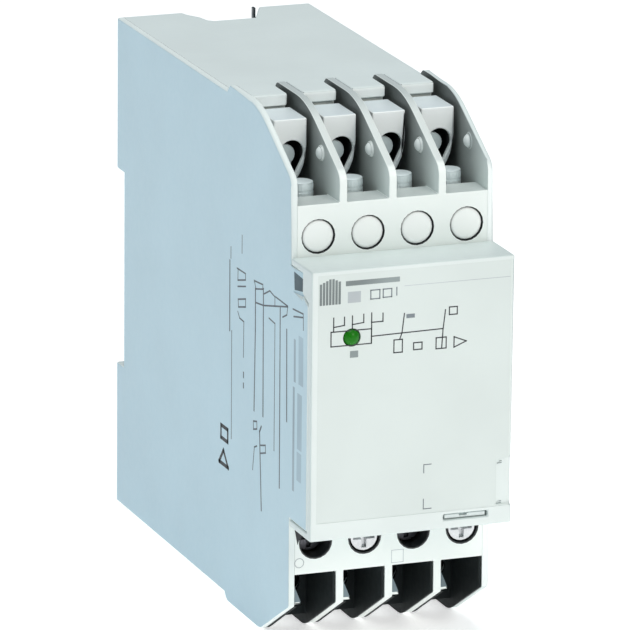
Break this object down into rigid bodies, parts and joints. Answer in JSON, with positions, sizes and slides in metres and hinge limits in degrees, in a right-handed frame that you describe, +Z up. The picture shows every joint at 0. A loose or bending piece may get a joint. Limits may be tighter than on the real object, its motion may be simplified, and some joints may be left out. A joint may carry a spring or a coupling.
{
  "type": "din rail contactor",
  "caption": "Two-module rail-mounted contactor with clamp terminals above and below, a status lamp and a sprung rail clip.",
  "frame": {"origin": "centre of the flat face that rests on the mounting rail", "axes": "+X to the right seen from the front, +Y towards the rail, +Z up"},
  "size_m": [0.036, 0.0995, 0.0911],
  "materials": {
    "shell_light_grey": "satin",
    "cover_blue_grey": "satin",
    "label_sheet": "matt",
    "black_plastic": "satin",
    "clear_green": "glossy",
    "nickel_plate": "nickel plated",
    "steel_screw": "zinc plated",
    "spring_steel": "bright",
    "dark_spring_steel": "blued",
    "brass_bar": "bright",
    "copper_bar": "bright",
    "contact_silver": "matt silver",
    "core_steel": "laminated",
    "amber_nylon": "matt",
    "bobbin_nylon": "matt",
    "enamelled_wire": "enamelled",
    "board_green": "solder mask",
    "sleeve_blue": "glossy",
    "disc_blue": "glossy"
  },
  "bodies": {
    "housing": {"housing_body": "shell_light_grey", "side_cover": "cover_blue_grey", "hook_spring": "dark_spring_steel", "terminal_block_top": "shell_light_grey", "terminal_block_bottom": "shell_light_grey", "wire_shroud": "black_plastic", "front_cover": "shell_light_grey", "front_label": "label_sheet", "cover_catch": "shell_light_grey", "status_led": "clear_green", "clamp_cage_top_1": "nickel_plate", "terminal_bar_top_1": "brass_bar", "clamp_cage_top_2": "nickel_plate", "terminal_bar_top_2": "brass_bar", "clamp_cage_top_3": "nickel_plate", "terminal_bar_top_3": "copper_bar", "clamp_cage_top_4": "nickel_plate", "terminal_bar_top_4": "copper_bar", "clamp_cage_bottom_1": "nickel_plate", "terminal_bar_bottom_1": "brass_bar", "clamp_cage_bottom_2": "nickel_plate", "terminal_bar_bottom_2": "brass_bar", "clamp_cage_bottom_3": "nickel_plate", "terminal_bar_bottom_3": "copper_bar", "clamp_cage_bottom_4": "nickel_plate", "terminal_bar_bottom_4": "copper_bar", "fixed_core": "core_steel", "coil_bobbin": "bobbin_nylon", "coil_winding": "enamelled_wire", "return_spring_left": "spring_steel", "return_spring_right": "spring_steel", "inner_frame": "black_plastic", "circuit_board": "board_green", "filter_capacitor": "sleeve_blue", "varistor": "disc_blue", "rectifier": "black_plastic", "rail_clip_spring": "spring_steel"},
    "rail_clip": {"rail_clip": "black_plastic"},
    "carrier": {"contact_carrier": "amber_nylon", "armature": "core_steel", "contact_spring_1": "spring_steel", "contact_spring_2": "spring_steel"},
    "bridge_1": {"contact_bridge_1": "contact_silver"},
    "bridge_2": {"contact_bridge_2": "contact_silver"},
    "jaw_top_1": {"clamp_jaw_top_1": "nickel_plate"},
    "screw_top_1": {"clamp_screw_top_1": "steel_screw"},
    "jaw_top_2": {"clamp_jaw_top_2": "nickel_plate"},
    "screw_top_2": {"clamp_screw_top_2": "steel_screw"},
    "jaw_top_3": {"clamp_jaw_top_3": "nickel_plate"},
    "screw_top_3": {"clamp_screw_top_3": "steel_screw"},
    "jaw_top_4": {"clamp_jaw_top_4": "nickel_plate"},
    "screw_top_4": {"clamp_screw_top_4": "steel_screw"},
    "jaw_bottom_1": {"clamp_jaw_bottom_1": "nickel_plate"},
    "screw_bottom_1": {"clamp_screw_bottom_1": "steel_screw"},
    "jaw_bottom_2": {"clamp_jaw_bottom_2": "nickel_plate"},
    "screw_bottom_2": {"clamp_screw_bottom_2": "steel_screw"},
    "jaw_bottom_3": {"clamp_jaw_bottom_3": "nickel_plate"},
    "screw_bottom_3": {"clamp_screw_bottom_3": "steel_screw"},
    "jaw_bottom_4": {"clamp_jaw_bottom_4": "nickel_plate"},
    "screw_bottom_4": {"clamp_screw_bottom_4": "steel_screw"}
  },
  "joints": [
    {"name": "rail_clip_slide", "type": "slide", "parent": "housing", "child": "rail_clip", "axis": [0, 0, -1], "range_m": [0, 0.0035], "stiffness_N_per_m": 1200, "springref_m": -0.003, "deforming": ["rail_clip_spring"]},
    {"name": "carrier_slide", "type": "slide", "parent": "housing", "child": "carrier", "axis": [0, 1, 0], "range_m": [0, 0.0028], "stiffness_N_per_m": 400, "springref_m": -0.003, "deforming": ["return_spring_left", "return_spring_right"]},
    {"name": "bridge_1_overtravel", "type": "slide", "parent": "carrier", "child": "bridge_1", "axis": [0, 1, 0], "range_m": [-0.00092, 0], "deforming": ["contact_spring_1"]},
    {"name": "bridge_2_overtravel", "type": "slide", "parent": "carrier", "child": "bridge_2", "axis": [0, 1, 0], "range_m": [-0.00092, 0], "deforming": ["contact_spring_2"]},
    {"name": "jaw_top_1_slide", "type": "slide", "parent": "housing", "child": "jaw_top_1", "axis": [0, 1, 0], "range_m": [0, 0.003]},
    {"name": "screw_top_1_turn", "type": "hinge", "parent": "jaw_top_1", "child": "screw_top_1", "pos_m": [-0.0132, -0.0847, 0.02725], "axis": [0, 1, 0], "range_deg": [0, 1802]},
    {"name": "jaw_top_2_slide", "type": "slide", "parent": "housing", "child": "jaw_top_2", "axis": [0, 1, 0], "range_m": [0, 0.003]},
    {"name": "screw_top_2_turn", "type": "hinge", "parent": "jaw_top_2", "child": "screw_top_2", "pos_m": [-0.0044, -0.0847, 0.02725], "axis": [0, 1, 0], "range_deg": [0, 1802]},
    {"name": "jaw_top_3_slide", "type": "slide", "parent": "housing", "child": "jaw_top_3", "axis": [0, 1, 0], "range_m": [0, 0.003]},
    {"name": "screw_top_3_turn", "type": "hinge", "parent": "jaw_top_3", "child": "screw_top_3", "pos_m": [0.0044, -0.0847, 0.02725], "axis": [0, 1, 0], "range_deg": [0, 1802]},
    {"name": "jaw_top_4_slide", "type": "slide", "parent": "housing", "child": "jaw_top_4", "axis": [0, 1, 0], "range_m": [0, 0.003]},
    {"name": "screw_top_4_turn", "type": "hinge", "parent": "jaw_top_4", "child": "screw_top_4", "pos_m": [0.0132, -0.0847, 0.02725], "axis": [0, 1, 0], "range_deg": [0, 1802]},
    {"name": "jaw_bottom_1_slide", "type": "slide", "parent": "housing", "child": "jaw_bottom_1", "axis": [0, 1, 0], "range_m": [-0.003, 0]},
    {"name": "screw_bottom_1_turn", "type": "hinge", "parent": "jaw_bottom_1", "child": "screw_bottom_1", "pos_m": [-0.0132, -0.0817, -0.02575], "axis": [0, 1, 0], "range_deg": [-1802, 0]},
    {"name": "jaw_bottom_2_slide", "type": "slide", "parent": "housing", "child": "jaw_bottom_2", "axis": [0, 1, 0], "range_m": [0, 0.003]},
    {"name": "screw_bottom_2_turn", "type": "hinge", "parent": "jaw_bottom_2", "child": "screw_bottom_2", "pos_m": [-0.0044, -0.0847, -0.02575], "axis": [0, 1, 0], "range_deg": [0, 1802]},
    {"name": "jaw_bottom_3_slide", "type": "slide", "parent": "housing", "child": "jaw_bottom_3", "axis": [0, 1, 0], "range_m": [-0.003, 0]},
    {"name": "screw_bottom_3_turn", "type": "hinge", "parent": "jaw_bottom_3", "child": "screw_bottom_3", "pos_m": [0.0044, -0.0817, -0.02575], "axis": [0, 1, 0], "range_deg": [-1802, 0]},
    {"name": "jaw_bottom_4_slide", "type": "slide", "parent": "housing", "child": "jaw_bottom_4", "axis": [0, 1, 0], "range_m": [0, 0.003]},
    {"name": "screw_bottom_4_turn", "type": "hinge", "parent": "jaw_bottom_4", "child": "screw_bottom_4", "pos_m": [0.0132, -0.0847, -0.02575], "axis": [0, 1, 0], "range_deg": [0, 1802]}
  ],
  "couplings": [
    {"joint": "bridge_1_overtravel", "follows": "carrier_slide", "ratio": -0.3214},
    {"joint": "bridge_2_overtravel", "follows": "carrier_slide", "ratio": -0.3214},
    {"joint": "screw_top_1_turn", "follows": "jaw_top_1_slide", "rad_per_m": 10472},
    {"joint": "screw_top_2_turn", "follows": "jaw_top_2_slide", "rad_per_m": 10472},
    {"joint": "screw_top_3_turn", "follows": "jaw_top_3_slide", "rad_per_m": 10472},
    {"joint": "screw_top_4_turn", "follows": "jaw_top_4_slide", "rad_per_m": 10472},
    {"joint": "screw_bottom_1_turn", "follows": "jaw_bottom_1_slide", "rad_per_m": 10472},
    {"joint": "screw_bottom_2_turn", "follows": "jaw_bottom_2_slide", "rad_per_m": 10472},
    {"joint": "screw_bottom_3_turn", "follows": "jaw_bottom_3_slide", "rad_per_m": 10472},
    {"joint": "screw_bottom_4_turn", "follows": "jaw_bottom_4_slide", "rad_per_m": 10472}
  ]
}
